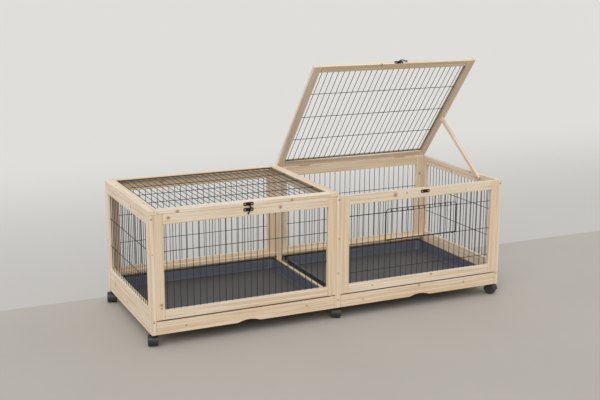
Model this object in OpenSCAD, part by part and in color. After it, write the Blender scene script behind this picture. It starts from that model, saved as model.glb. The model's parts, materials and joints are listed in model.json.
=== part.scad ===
// Guinea pig run on casters. Two mesh compartments stand side by side, with a hinged mesh
// lid over each, a pull-out plastic tray under each and a wire door in the right front.
// The origin is on the floor under the middle. X runs to the right, Y to the back, Z up.

/* [Overall size] */
// Length over the two side frames
run_length = 1500; // [1300:10:1800]
// Depth from the front face to the back face
run_depth = 600; // [540:10:700]
// Height of the wooden frame, from leg bottom to top edge
frame_height = 445; // [430:5:520]
// Height of the leg bottoms above the floor
caster_height = 48; // [48:1:60]

/* [Wooden frames] */
// Thickness of the two side frames
side_thickness = 18; // [16:1:22]
// Width of the side frames' legs, seen from the side
side_stile_width = 40; // [36:1:50]
// Height of the board at the foot of each side frame
side_board_height = 96; // [80:1:120]
// Thickness of the middle frame
middle_thickness = 24; // [24:1:30]
// Width of the middle frame's legs, seen from the side
middle_stile_width = 36; // [32:1:50]
// Height of the crossbar at the foot of the middle frame
middle_bar_height = 40; // [36:1:44]
// Thickness of the front and back panels
panel_thickness = 16; // [14:1:18]
// Width of the upright slats of the front and back panels
panel_stile_width = 34; // [28:1:50]
// Height of every top rail
top_rail_height = 37; // [32:1:45]
// Height of the front panels' bottom rail
front_rail_height = 35; // [28:1:50]
// Height of the board at the foot of the back panels
back_board_height = 92; // [80:1:120]

/* [Lids] */
// Thickness of the lids
lid_thickness = 15; // [15:1:20]
// Width of the slats round each lid
lid_slat_width = 37; // [30:1:50]
// Gap between a closed lid and the frame under it
lid_gap = 0.3; // [0.2:0.1:1]
// Gap between the two lids
lid_split = 1; // [0.5:0.5:4]
// How far the right lid stands open
lid_open_angle = 51.2; // [35:0.2:55]
// Width of the rebate under the slats, in which the lid's mesh lies
lid_rebate = 6; // [5:0.5:8]

/* [Mesh] */
// Thickness of the mesh wires
wire_diameter = 2.5; // [1.6:0.1:2.8]
// Distance between neighbouring upright wires
wire_pitch = 25; // [20:1:32]
// Depth to which crossing wires are welded into each other
wire_weld = 0.5; // [0.2:0.1:0.8]
// Distance between the cross wires of the upright panels
cross_pitch = 114; // [90:1:140]
// Height of the upper cross wire, except in the right front panel
cross_top = 307; // [280:1:340]
// Depth below the frame's top edge of the wire that the wire door hangs on
door_wire_drop = 199; // [185:1:215]
// Distance of the first lid cross wire from the hinge line
lid_cross_first = 168; // [120:1:200]
// Distance between the cross wires of the lids
lid_cross_pitch = 136; // [100:1:150]
// Distance from the mesh wires to the nearer face of their panel
mesh_inset = 5; // [4:0.5:6]

/* [Wire door] */
// Number of mesh gaps that the door spans
door_gap_count = 13; // [7:2:15]
// Mesh gaps between the left post and the door
door_offset_count = 6; // [4:1:8]
// Height of the door
door_height = 128; // [120:1:140]
// Thickness of the wire round the door
door_wire_diameter = 2.8; // [2.4:0.1:3.6]
// Radius of the door's upper corners
door_corner = 12; // [8:1:20]
// Air between the door's wires and the mesh wires behind them
door_air = 0.5; // [0.4:0.1:1]
// Width of the door's hinge eyes
door_eye_width = 9; // [6:1:12]
// Clearance round the wire in the door's hinge eyes
door_eye_clearance = 0.08; // [0.04:0.01:0.1]

/* [Drawers] */
// Height of the wooden drawer fronts
drawer_front_height = 49; // [44:1:56]
// Thickness of the drawer fronts
drawer_front_thickness = 18; // [14:1:20]
// Gap between the trays' rims and the front panels above them
rail_gap = 1; // [0.5:0.5:3]
// Gap between a drawer front and the legs beside it
drawer_side_gap = 1; // [0.5:0.5:3]
// Width of the finger notch under each drawer front
notch_width = 88; // [60:1:120]
// Height of the finger notch
notch_height = 9; // [7:1:14]
// Thickness of the strip behind the drawer front that holds the tray's rim
cleat_thickness = 9; // [7:1:12]
// Height of that strip
cleat_height = 20; // [14:1:24]
// Width of the tray's flat rim
tray_rim = 10; // [10:1:13]
// How far the rim laps over the drawer front
tray_lap = 15; // [10:1:16]
// Gap between the drawer front and the rim that laps over it
lap_gap = 2; // [1:0.5:4]
// Wall thickness of the tray
tray_wall = 2; // [1.5:0.5:3]
// How far the tray's walls lean in from rim to floor
tray_draft = 6; // [3:1:10]
// Gap between the tray's rim and the frames beside it
tray_side_gap = 8; // [4:1:10]
// Gap between the tray's rim and the back panel
tray_back_gap = 4; // [2:1:10]
// Thickness of the batten in front of each back board, over the tray's rim
batten_thickness = 20; // [14:1:24]
// Height of the batten
batten_height = 15; // [10:1:20]
// Gap between the batten and the tray's rim
batten_gap = 10; // [6:1:14]
// Height of the runner strips under the trays
runner_height = 8; // [5:1:12]
// Width of the runner strips
runner_width = 40; // [34:1:60]

/* [Prop stick] */
// Width of the prop stick
prop_width = 17; // [14:1:20]
// Thickness of the prop stick
prop_thickness = 11; // [9:0.5:12]
// Distance of the prop's pivot from the front face
prop_pivot_y = 136.5; // [120:0.5:170]
// Depth of the prop's pivot below the frame's top edge
prop_pivot_drop = 14; // [14:1:22]
// Distance from the lid's hinge to where the prop meets the lid
prop_contact = 249; // [225:1:250]
// Gap left between the prop's end and the lid it holds up
prop_end_gap = 5.5; // [5.5:0.5:8]
// Slant of the prop's sawn end
prop_bevel = 10; // [10:1:30]
// How far the prop's lower end reaches past its pivot
prop_tail = 8; // [6:0.5:8]
// Gap between the prop and the side frame
prop_side_gap = 0.5; // [0.3:0.1:1]

/* [Hinges] */
// Length of each lid hinge
hinge_length = 50; // [40:1:60]
// Thickness of the hinge leaves
leaf_thickness = 1.2; // [1:0.1:1.5]
// Height of the leaves screwed to the back panels
leaf_height = 24; // [18:1:30]
// Radius of the hinge knuckles
knuckle_radius = 2.8; // [2.4:0.1:3.2]
// Radius of the hinge pins
pin_radius = 1.25; // [1:0.05:1.4]
// Running clearance round the hinge pins
pin_clearance = 0.05; // [0.02:0.01:0.1]
// Gap between neighbouring knuckles
knuckle_gap = 0.4; // [0.3:0.1:1]
// Distance from a lid's end to the middle of its hinge
hinge_inset = 110; // [60:5:200]

/* [Latches] */
// Thickness of the latch plates
plate_thickness = 1.2; // [1:0.1:1.5]
// Width of the flat middle of a latch plate
plate_width = 17; // [14:1:20]
// Height of a latch plate
plate_height = 13; // [11:1:13]
// Outer radius of the rings beside the plate
lobe_radius = 7; // [6:0.5:8]
// Width of the rings' metal
lobe_band = 4.4; // [3.5:0.1:5]
// Depth of the catch plate's middle below the frame's top edge
keeper_drop = 13; // [12:1:19]
// Radius of the catch peg
peg_radius = 2.5; // [2:0.1:3]
// How far the catch peg stands out from its plate
peg_length = 1.5; // [1:0.1:1.8]
// Radius of the hook's pivot pin
hook_pin_radius = 1.5; // [1.2:0.1:2]
// Running clearance round the hook's pivot pin
hook_clearance = 0.06; // [0.03:0.01:0.1]
// Gap between the lid's latch plate and the hook
hook_gap = 2; // [2:0.1:3]
// Width of the swinging hook's bar
hook_width = 4.5; // [4:0.1:6]
// Thickness of the swinging hook
hook_thickness = 1.6; // [1.2:0.1:2]
// How far the hook bows out to the right of its pivot
hook_bow = 7; // [6:0.5:9]
// Distance from the hook's pivot to the ball at its end
hook_length = 35; // [33:0.5:38]
// Radius of the ball at the hook's end
ball_radius = 3; // [2.6:0.1:3.4]

/* [Screws and dowels] */
// Radius of the wood screws
screw_radius = 2; // [1.75:0.05:2.5]
// Radius of the wood screws' heads
screw_head_radius = 3.2; // [2.8:0.1:4]
// Length of the frame screws
screw_length = 62; // [50:1:80]
// Clearance round screws and dowels in the wood
wood_clearance = 0.05; // [0.03:0.01:0.2]
// Depth of the upper frame screws below the top edge
upper_screw_drop = 14; // [10:1:18]
// Height of the lower screws of the side frames
lower_screw_height = 49; // [40:1:60]
// Height of the lower screws of the middle frame
middle_screw_height = 32; // [30:1:34]
// Radius of the dowels between panels and frames
dowel_radius = 3; // [2.5:0.5:4]
// Depth of a dowel in each of the two pieces it joins
dowel_depth = 11; // [8:0.5:11]
// Distance of the dowels from the panels' upper and lower ends
dowel_inset = 65; // [50:1:90]

/* [Casters] */
// Radius of the caster wheels
wheel_radius = 20; // [18:0.5:20]
// Width of each caster wheel
wheel_width = 12; // [10:0.5:14]
// Width of the hood's web between the two wheels
web_width = 12; // [11:0.5:14]
// Gap between a wheel and the hood
wheel_gap = 0.6; // [0.4:0.1:1]
// Thickness of the hood over the wheels
hood_thickness = 2.2; // [1.8:0.1:3]
// Radius of the caster's stem
stem_radius = 4; // [3.5:0.25:4.5]
// Depth of the stem in the leg
stem_depth = 25; // [18:1:26]
// Running clearance round stem and axle
caster_clearance = 0.06; // [0.03:0.01:0.1]
// Distance from the stem to the wheel axle
caster_trail = 9; // [8:0.5:12]
// Radius of the wheel axle
axle_radius = 2; // [1.5:0.25:2.5]
// Gap between the hood's collar and the leg
collar_gap = 0.3; // [0.2:0.1:0.8]

/* [Hidden] */

// Facets that make a circle round, and the sides of a straight mesh wire
round_fn = 48;
wire_fn = 8;
wire_radius = wire_diameter / 2;
door_wire_radius = door_wire_diameter / 2;
// A cut runs this far past the face that it opens
past = 1;

// Bays between the frames, as left and right edge of each
middle_left = (run_length - middle_thickness) / 2;
middle_right = (run_length + middle_thickness) / 2;
bays = [[side_thickness, middle_left], [middle_right, run_length - side_thickness]];
// Middle of each frame's thickness
frame_xs = [side_thickness / 2, run_length / 2, run_length - side_thickness / 2];
tray_top = drawer_front_height + lap_gap + tray_wall;
front_rail_bottom = tray_top + rail_gap;
window_top = frame_height - top_rail_height;
front_window_bottom = front_rail_bottom + front_rail_height;

// Mesh heights, as lists of cross wires
door_wire_height = frame_height - door_wire_drop;
cross_heights = [cross_top, cross_top - cross_pitch];
door_lower_wires = floor((door_wire_height - front_window_bottom - wire_diameter) / cross_pitch);
door_upper_wire_height = door_wire_height + cross_pitch;
door_cross_heights = [for (k = [-door_lower_wires:1]) door_wire_height + k * cross_pitch];
front_mesh_y = panel_thickness - mesh_inset;
front_cross_y = front_mesh_y - wire_diameter + wire_weld;

// Hinge line of the lids, in the plane of the back face
hinge_y = run_depth;
hinge_z = frame_height + lid_gap / 2;
lid_edges = [[0, (run_length - lid_split) / 2], [(run_length + lid_split) / 2, run_length]];
lid_bottom = frame_height + lid_gap;
lid_angles = [0, lid_open_angle];
leaf_edge = 1;
head_edge = 0.4;
lid_leaf_height = lid_thickness - leaf_edge;
// The lids' mesh lies a little off the middle, as fitted
lid_wires = wire_count(lid_edges[0][1] - lid_edges[0][0] - 2 * lid_slat_width);
lid_mesh_shifts = [-5, -1];
lid_mesh_z = lid_bottom + lid_thickness - mesh_inset;
lid_cross_z = lid_mesh_z - wire_diameter + wire_weld;
// The rebate is cut from below up to the top of the mesh wires
lid_rebate_top = lid_mesh_z + wire_radius;

// The wire door hangs on the cross wire under it
door_left = front_first_wire(1) + door_offset_count * wire_pitch;
door_right = door_left + door_gap_count * wire_pitch;
door_offset = wire_radius + door_wire_radius + door_air;
door_y = front_cross_y - door_offset;
door_bottom = door_wire_height + door_offset;
door_top = door_wire_height + door_height - door_wire_radius;
// The eyes reach the door's lower bar and are welded into it
door_eye_radius = sqrt(2) * door_offset - door_wire_radius + wire_weld;

// Trays
tray_air = 0.3;
runner_gap = 2;
tray_front = drawer_front_thickness + tray_air;
tray_back = run_depth - panel_thickness - tray_back_gap;
tray_corner = 22;

// Prop stick, worked out from where it meets the open lid
prop_y = prop_pivot_y;
prop_z = frame_height - prop_pivot_drop;
prop_half = prop_width / 2;
contact_y = hinge_y - prop_contact * cos(lid_open_angle) + lid_gap / 2 * sin(lid_open_angle);
contact_z = hinge_z + prop_contact * sin(lid_open_angle) + lid_gap / 2 * cos(lid_open_angle);
prop_reach = norm([contact_y - prop_y, contact_z - prop_z]);
prop_angle = atan2(contact_z - prop_z, contact_y - prop_y) + asin(prop_half / prop_reach);
prop_length = sqrt(prop_reach * prop_reach - prop_half * prop_half) - prop_end_gap;
prop_right = run_length - side_thickness - prop_side_gap;
prop_left = prop_right - prop_thickness;
prop_head_height = 2.4;
prop_head_gap = 0.3;
prop_screw_depth = 14;

// Latches sit near the middle of each lid and lie on the front face
keeper_height = frame_height - keeper_drop;
latch_shifts = [2.5, 6];
latch_xs = [for (b = [0:1]) (lid_edges[b][0] + lid_edges[b][1]) / 2 + latch_shifts[b]];
// The left hook hangs down, the right one is swung up to the right
hook_turns = [0, -95];
hook_back = -plate_thickness - hook_gap;
hook_front = hook_back - hook_thickness;
hook_eye_radius = 3.6;
hook_return = 3;
hook_points = [[0, 0], [hook_bow, -0.3 * hook_length], [hook_bow, -0.65 * hook_length],
    [-hook_return, -hook_length]];
pin_head_radius = 2.5;
pin_head = 1;
pin_head_gap = 0.2;
pin_head_front = hook_front - pin_head_gap - pin_head;

// Casters stand under the legs: left, middle and right in front, then at the back
caster_ys = [side_stile_width / 2, middle_stile_width / 2, side_stile_width / 2];
caster_turns = [-18, -25, 30, 160, 180, -165];
wheel_x = web_width / 2 + wheel_gap + wheel_width / 2;
hood_inner = wheel_radius + wheel_gap;
hood_outer = hood_inner + hood_thickness;
collar_radius = stem_radius + 3.5;

function bay_width(b) = bays[b][1] - bays[b][0];
function wire_count(width) = floor(width / wire_pitch);
function first_wire(low, high) = (low + high - (wire_count(high - low) - 1) * wire_pitch) / 2;
function front_first_wire(b) =
    first_wire(bays[b][0] + panel_stile_width, bays[b][1] - panel_stile_width);
function caster_x(i) = frame_xs[i % 3];
function caster_y(i) = i < 3 ? caster_ys[i] : run_depth - caster_ys[i % 3];
function frame_screw_z(i, k) =
    k == 1 ? frame_height - upper_screw_drop : (i == 1 ? middle_screw_height : lower_screw_height);

// Everything is drawn from the left front leg's foot, then set on the floor
module on_floor() {
    translate([-run_length / 2, -run_depth / 2, caster_height]) children();
}

// Box from one corner to the opposite one
module slat(low, high) {
    translate(low) cube(high - low);
}

// Straight mesh wire between two points along one axis
module wire_y(at, length, radius = wire_radius, sides = wire_fn) {
    translate(at) rotate([-90, 0, 0]) cylinder(r = radius, h = length, $fn = sides);
}

module wire_x(at, length, radius = wire_radius, sides = wire_fn) {
    translate(at) rotate([0, 90, 0]) cylinder(r = radius, h = length, $fn = sides);
}

module wire_z(at, length, radius = wire_radius, sides = wire_fn) {
    translate(at) cylinder(r = radius, h = length, $fn = sides);
}

// Holes and screws

module screw_holes(i) {
    for (k = [0:1], back = [0:1])
        frame_screw_place(i, k, back)
            wood_screw(screw_radius + wood_clearance, screw_head_radius + wood_clearance,
                screw_length + past);
}

module frame_screw_place(i, k, back) {
    translate([frame_xs[i], back * run_depth, frame_screw_z(i, k)])
        rotate([back ? 90 : -90, 0, 0])
            children();
}

// Countersunk screw whose head is flush with z = 0 and which points along +Z
module wood_screw(radius, head, length) {
    neck = head_edge + head - radius;
    rotate_extrude($fn = round_fn)
        polygon([[0, 0], [head, 0], [head, head_edge], [radius, neck],
            [radius, length], [0, length]]);
}

module dowel_places() {
    for (x = [bays[0][0], bays[0][1], bays[1][0], bays[1][1]], back = [0:1],
         z = [front_rail_bottom + dowel_inset, frame_height - dowel_inset])
        translate([x, back ? run_depth - panel_thickness / 2 : panel_thickness / 2, z])
            rotate([0, 90, 0])
                children();
}

module dowel_holes() {
    dowel_places()
        cylinder(r = dowel_radius + wood_clearance, h = 2 * dowel_depth + 0.6, center = true,
            $fn = round_fn);
}

module stem_holes() {
    for (i = [0:5])
        translate([caster_x(i), caster_y(i), -past])
            cylinder(r = stem_radius + wood_clearance, h = stem_depth + past + 0.5,
                $fn = round_fn);
}

module frame_holes(i) {
    screw_holes(i);
    dowel_holes();
    stem_holes();
}

// Upright frames across the run

module frame_stiles(i, thickness, width) {
    low = frame_xs[i] - thickness / 2;
    difference() {
        for (y = [0, run_depth - width])
            slat([low, y, 0], [low + thickness, y + width, frame_height]);
        frame_holes(i);
    }
}

module frame_rails(i, thickness, width, foot) {
    low = frame_xs[i] - thickness / 2;
    difference() {
        for (z = [[0, foot], [window_top, frame_height]])
            slat([low, width, z[0]], [low + thickness, run_depth - width, z[1]]);
        screw_holes(i);
        if (i == 2) prop_screw_shape(wood_clearance);
    }
}

module side_mesh(x, inward) {
    low = side_stile_width;
    high = run_depth - side_stile_width;
    start = first_wire(low, high);
    for (k = [0:wire_count(high - low) - 1])
        wire_z([x, start + k * wire_pitch, side_board_height], window_top - side_board_height);
    for (z = cross_heights)
        wire_y([x + inward * (wire_diameter - wire_weld), low, z], high - low);
}

// Front and back panels

module panel_stiles(b, y, bottom) {
    difference() {
        for (x = [bays[b][0], bays[b][1] - panel_stile_width])
            slat([x, y, bottom], [x + panel_stile_width, y + panel_thickness, frame_height]);
        dowel_holes();
    }
}

module panel_rails(b, y, bottom, foot) {
    for (z = [[bottom, foot], [window_top, frame_height]])
        slat([bays[b][0] + panel_stile_width, y, z[0]],
            [bays[b][1] - panel_stile_width, y + panel_thickness, z[1]]);
}

module panel_mesh(b, y, cross_y, bottom, heights) {
    low = bays[b][0] + panel_stile_width;
    high = bays[b][1] - panel_stile_width;
    for (k = [0:wire_count(high - low) - 1])
        wire_z([front_first_wire(b) + k * wire_pitch, y, bottom], window_top - bottom);
    for (z = heights)
        wire_x([low, cross_y, z], high - low);
}

// The right front mesh leaves out the wires behind the wire door
module door_mesh() {
    low = bays[1][0] + panel_stile_width;
    high = bays[1][1] - panel_stile_width;
    last = wire_count(high - low) - 1;
    for (k = [0:last]) {
        x = front_first_wire(1) + k * wire_pitch;
        at = [x, front_mesh_y, front_window_bottom];
        if (k <= door_offset_count || k >= door_offset_count + door_gap_count) {
            wire_z(at, window_top - front_window_bottom);
        } else {
            wire_z(at, door_wire_height - front_window_bottom);
            wire_z([x, front_mesh_y, door_upper_wire_height], window_top - door_upper_wire_height);
        }
    }
    for (z = door_cross_heights)
        wire_x([low, front_cross_y, z], high - low, wire_radius,
            z == door_wire_height ? round_fn : wire_fn);
}

// Lids, drawn closed and turned about the hinge line

module lid_place(b) {
    translate([0, hinge_y, hinge_z])
        rotate([-lid_angles[b], 0, 0])
            translate([0, -hinge_y, -hinge_z])
                children();
}

// Edges of the rebated opening, as seen from below
function rebate_low(b) = [lid_edges[b][0] + lid_slat_width - lid_rebate,
    lid_slat_width - lid_rebate];
function rebate_high(b) = [lid_edges[b][1] - lid_slat_width + lid_rebate,
    run_depth - lid_slat_width + lid_rebate];

module lid_rebate_cut(b) {
    slat(concat(rebate_low(b), lid_bottom - past), concat(rebate_high(b), lid_rebate_top));
}

module lid_stiles(b) {
    lid_place(b)
        difference() {
            for (x = [lid_edges[b][0], lid_edges[b][1] - lid_slat_width])
                slat([x, 0, lid_bottom],
                    [x + lid_slat_width, run_depth, lid_bottom + lid_thickness]);
            lid_rebate_cut(b);
        }
}

module lid_rails(b) {
    lid_place(b)
        difference() {
            for (y = [0, run_depth - lid_slat_width])
                slat([lid_edges[b][0] + lid_slat_width, y, lid_bottom],
                    [lid_edges[b][1] - lid_slat_width, y + lid_slat_width,
                        lid_bottom + lid_thickness]);
            lid_rebate_cut(b);
            hinge_notches(b);
        }
}

// Mesh sheet with a wire along each of its edges, let into the rebate
module lid_mesh(b) {
    low = rebate_low(b);
    high = rebate_high(b);
    start = first_wire(low[0] + lid_rebate, high[0] - lid_rebate) + lid_mesh_shifts[b];
    lengthways = [for (k = [0:lid_wires - 1]) start + k * wire_pitch];
    crossways = [for (k = [0:2]) run_depth - lid_cross_first - k * lid_cross_pitch];
    lid_place(b) {
        for (x = concat(low[0] + wire_radius, lengthways, high[0] - wire_radius))
            wire_y([x, low[1], lid_mesh_z], high[1] - low[1]);
        for (y = concat(low[1] + wire_radius, crossways, high[1] - wire_radius))
            wire_x([low[0], y, lid_cross_z], high[0] - low[0]);
    }
}

// Lid hinges

module hinge_places(b) {
    for (x = [lid_edges[b][0] + hinge_inset, lid_edges[b][1] - hinge_inset - hinge_length])
        translate([x, hinge_y, hinge_z]) children();
}

module hinge_barrel(radius, from, to) {
    translate([from, 0, 0]) rotate([0, 90, 0]) cylinder(r = radius, h = to - from, $fn = round_fn);
}

// The knuckles are let half into the wood of the back panel and the lid
module hinge_notches(b) {
    hinge_places(b)
        hinge_barrel(knuckle_radius + knuckle_gap, -knuckle_gap, hinge_length + knuckle_gap);
}

// Leaf that lies on the back face, with its knuckles; the middle third belongs to the lid
module hinge_leaf(of_lid, height) {
    third = hinge_length / 3;
    own = of_lid ? [[third, 2 * third]] : [[0, third], [2 * third, hinge_length]];
    other = of_lid ? [[-past, third], [2 * third, hinge_length + past]] : [[third, 2 * third]];
    difference() {
        union() {
            slat([0, 0, of_lid ? 0 : -height],
                [hinge_length, leaf_thickness, of_lid ? height : 0]);
            for (span = own) hinge_barrel(knuckle_radius, span[0], span[1]);
        }
        hinge_barrel(pin_radius + pin_clearance, -past, hinge_length + past);
        for (span = other)
            hinge_barrel(knuckle_radius + knuckle_gap, span[0] - knuckle_gap,
                span[1] + knuckle_gap);
    }
}

// Latches

// Plate with a ring on each side, lying in the XZ plane with its back at y = 0
module scroll_plate() {
    ring = plate_width / 2 + lobe_radius - lobe_band / 2;
    rotate([90, 0, 0])
        linear_extrude(plate_thickness)
            difference() {
                union() {
                    square([plate_width, plate_height], center = true);
                    for (side = [-1, 1])
                        translate([side * ring, 0]) circle(r = lobe_radius, $fn = round_fn);
                }
                for (side = [-1, 1])
                    translate([side * ring, 0])
                        circle(r = lobe_radius - lobe_band, $fn = round_fn);
            }
}

// Round pin that stands on the front face between two depths
module latch_pin(from, to, radius) {
    translate([0, from, 0])
        rotate([90, 0, 0])
            cylinder(r = radius, h = from - to, $fn = round_fn);
}

module catch_plate(b) {
    translate([latch_xs[b], 0, keeper_height]) {
        scroll_plate();
        latch_pin(-plate_thickness / 2, -plate_thickness - peg_length, peg_radius);
    }
}

// Plate on the lid's front edge, with the collar, the pin and the pin's head that carry the hook
module lid_latch_plate(b) {
    lid_place(b)
        translate([latch_xs[b], 0, lid_bottom + lid_thickness / 2]) {
            scroll_plate();
            latch_pin(-plate_thickness / 2, hook_back + pin_head_gap, pin_head_radius);
            latch_pin(-plate_thickness / 2, pin_head_front, hook_pin_radius);
            latch_pin(hook_front - pin_head_gap, pin_head_front, pin_head_radius);
        }
}

// Bar with round ends between two points of a flat shape
module bar(from, to, width) {
    run = to - from;
    translate(from) {
        rotate(atan2(run[1], run[0])) translate([0, -width / 2]) square([norm(run), width]);
        circle(r = width / 2, $fn = round_fn);
    }
    translate(to) circle(r = width / 2, $fn = round_fn);
}

// Hook that turns on the lid's plate: it bows round the catch peg and ends in a ball under it.
// It keeps clear in front of the peg, so that the lid can be lifted while the hook hangs.
module latch_hook(b) {
    lid_place(b)
        translate([latch_xs[b], 0, lid_bottom + lid_thickness / 2])
            rotate([0, hook_turns[b], 0])
                difference() {
                    union() {
                        translate([0, hook_back, 0])
                            rotate([90, 0, 0])
                                linear_extrude(hook_thickness) {
                                    circle(r = hook_eye_radius, $fn = round_fn);
                                    for (k = [0:2])
                                        bar(hook_points[k], hook_points[k + 1], hook_width);
                                }
                        translate([hook_points[3][0], hook_back - ball_radius, hook_points[3][1]])
                            sphere(r = ball_radius, $fn = round_fn);
                    }
                    latch_pin(hook_back + past, hook_front - past,
                        hook_pin_radius + hook_clearance);
                }
}

// Prop stick

module prop_screw_shape(clearance) {
    translate([prop_left - prop_head_gap, prop_y, prop_z])
        rotate([0, 90, 0]) {
            cylinder(r = screw_radius + clearance,
                h = run_length - side_thickness + prop_screw_depth - prop_left, $fn = round_fn);
            if (clearance == 0)
                translate([0, 0, -prop_head_height])
                    cylinder(r = screw_head_radius, h = prop_head_height, $fn = round_fn);
        }
}

module prop_shape() {
    slant = 2 * prop_half * tan(prop_bevel);
    translate([prop_left, prop_y, prop_z])
        rotate([prop_angle, 0, 0])
            difference() {
                rotate([90, 0, 90])
                    linear_extrude(prop_thickness)
                        polygon([[-prop_tail, -prop_half], [prop_length, -prop_half],
                            [prop_length - slant, prop_half], [-prop_tail, prop_half]]);
                translate([-past, 0, 0])
                    rotate([0, 90, 0])
                        cylinder(r = screw_radius + caster_clearance,
                            h = prop_thickness + 2 * past, $fn = round_fn);
            }
}

// Wire door, drawn shut

module door_shape() {
    inner = door_corner - door_wire_radius;
    side = [door_left, door_right];
    // upright sides
    for (x = side)
        wire_z([x, door_y, door_bottom], door_top - door_bottom - door_corner, door_wire_radius,
            round_fn);
    // bottom and top bars
    wire_x([door_left, door_y, door_bottom], door_right - door_left, door_wire_radius, round_fn);
    wire_x([door_left + door_corner, door_y, door_top], door_right - door_left - 2 * door_corner,
        door_wire_radius, round_fn);
    // rounded upper corners
    for (k = [0:1])
        translate([side[k] + (k == 0 ? door_corner : -door_corner), door_y,
            door_top - door_corner])
            rotate([90, 0, 0])
                rotate([0, 0, k == 0 ? 90 : 0])
                    rotate_extrude(angle = 90, $fn = round_fn)
                        translate([door_corner, 0])
                            circle(r = door_wire_radius, $fn = round_fn);
    // lower corners
    for (x = side)
        translate([x, door_y, door_bottom]) sphere(r = door_wire_radius, $fn = round_fn);
    // upright wires between the bars
    for (k = [1:door_gap_count - 1])
        wire_z([door_left + k * wire_pitch, door_y, door_bottom], door_top - door_bottom);
}

module wire_door_shape() {
    middle = door_left + (floor(door_gap_count / 2) + 0.5) * wire_pitch;
    difference() {
        union() {
            door_shape();
            for (x = [door_left + wire_pitch / 2, middle, door_right - wire_pitch / 2])
                wire_x([x - door_eye_width / 2, front_cross_y, door_wire_height], door_eye_width,
                    door_eye_radius, round_fn);
        }
        wire_x([door_left - past, front_cross_y, door_wire_height],
            door_right - door_left + 2 * past, wire_radius + door_eye_clearance, round_fn);
    }
}

// Drawers

module drawer_front(b) {
    low = bays[b][0] + drawer_side_gap;
    high = bays[b][1] - drawer_side_gap;
    // radius of an arc that is notch_width wide and notch_height high
    radius = (notch_width * notch_width / 4 + notch_height * notch_height) / (2 * notch_height);
    difference() {
        slat([low, 0, 0], [high, drawer_front_thickness, drawer_front_height]);
        translate([(low + high) / 2, -past, notch_height - radius])
            rotate([-90, 0, 0])
                cylinder(r = radius, h = drawer_front_thickness + 2 * past, $fn = 2 * round_fn);
    }
}

module drawer_cleat(b) {
    top = tray_top - tray_wall;
    inset = tray_side_gap + tray_rim + tray_corner;
    slat([bays[b][0] + inset, drawer_front_thickness, top - cleat_height],
        [bays[b][1] - inset, drawer_front_thickness + cleat_thickness, top]);
}

// Rounded rectangle, drawn in from the tray's outer edge
module tray_outline(b, inset, corner) {
    low = [bays[b][0] + tray_side_gap + inset, tray_front + inset];
    high = [bays[b][1] - tray_side_gap - inset, tray_back - inset];
    hull()
        for (x = [low[0] + corner, high[0] - corner], y = [low[1] + corner, high[1] - corner])
            translate([x, y]) circle(r = corner, $fn = round_fn);
}

// Tapering block between the outline at one height and the outline at another
module tray_block(b, lower, bottom, upper, top) {
    skin = 0.01;
    hull() {
        translate([0, 0, bottom]) linear_extrude(skin) tray_outline(b, lower, tray_corner);
        translate([0, 0, top - skin]) linear_extrude(skin) tray_outline(b, upper, tray_corner);
    }
}

module tray(b) {
    foot = tray_rim + tray_draft;
    difference() {
        union() {
            tray_block(b, foot, runner_height, tray_rim, tray_top);
            translate([0, 0, tray_top - tray_wall])
                linear_extrude(tray_wall) tray_outline(b, 0, tray_corner / 2);
            // lap over the drawer front
            slat([bays[b][0] + tray_side_gap + tray_corner / 2, tray_front - tray_lap,
                    tray_top - tray_wall],
                [bays[b][1] - tray_side_gap - tray_corner / 2, tray_front + tray_rim / 2,
                    tray_top]);
        }
        tray_block(b, foot + tray_wall, runner_height + tray_wall, tray_rim + tray_wall,
            tray_top + past);
    }
}

// Strip that the tray slides on
module runner(low) {
    slat([low, drawer_front_thickness + runner_gap, 0],
        [low + runner_width, run_depth - panel_thickness, runner_height]);
}

// Strip along the back panel, over the tray's rim
module batten(b) {
    back = run_depth - panel_thickness;
    bottom = tray_top + batten_gap;
    slat([bays[b][0], back - batten_thickness, bottom],
        [bays[b][1], back, bottom + batten_height]);
}

// Casters

module caster_place(i) {
    translate([caster_x(i), caster_y(i), -caster_height]) rotate([0, 0, caster_turns[i]])
        children();
}

module caster_stem(i) {
    low = wheel_radius + axle_radius + 4;
    caster_place(i)
        translate([0, 0, low])
            cylinder(r = stem_radius, h = caster_height + stem_depth - low, $fn = round_fn);
}

module across(from, to, radius) {
    translate([from, caster_trail, wheel_radius])
        rotate([0, 90, 0])
            cylinder(r = radius, h = to - from, $fn = round_fn);
}

// Hood: a web between the wheels, a cover over them and a collar round the stem
module caster_hood(i) {
    half = wheel_x + wheel_width / 2;
    low = wheel_radius + axle_radius + 3.5;
    skirt = wheel_radius - 4;
    caster_place(i)
        difference() {
            union() {
                difference() {
                    across(-half, half, hood_outer);
                    across(-half - past, half + past, hood_inner);
                    slat([-half - past, -hood_outer, -hood_outer],
                        [half + past, caster_trail + hood_outer + past, skirt]);
                }
                difference() {
                    across(-web_width / 2, web_width / 2, hood_inner + hood_thickness / 2);
                    slat([-half, -hood_outer, -hood_outer],
                        [half, caster_trail + hood_outer + past, wheel_radius / 3]);
                }
                translate([0, 0, wheel_radius + hood_inner - 1])
                    cylinder(r = collar_radius,
                        h = caster_height - collar_gap - wheel_radius - hood_inner + 1,
                        $fn = round_fn);
            }
            // room for the wheels, the stem and the axle
            for (side = [-1, 1])
                across(side * wheel_x - wheel_width / 2 - wheel_gap,
                    side * wheel_x + wheel_width / 2 + wheel_gap, hood_inner);
            translate([0, 0, low])
                cylinder(r = stem_radius + caster_clearance, h = caster_height, $fn = round_fn);
            across(-web_width, web_width, axle_radius + caster_clearance);
        }
}

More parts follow.
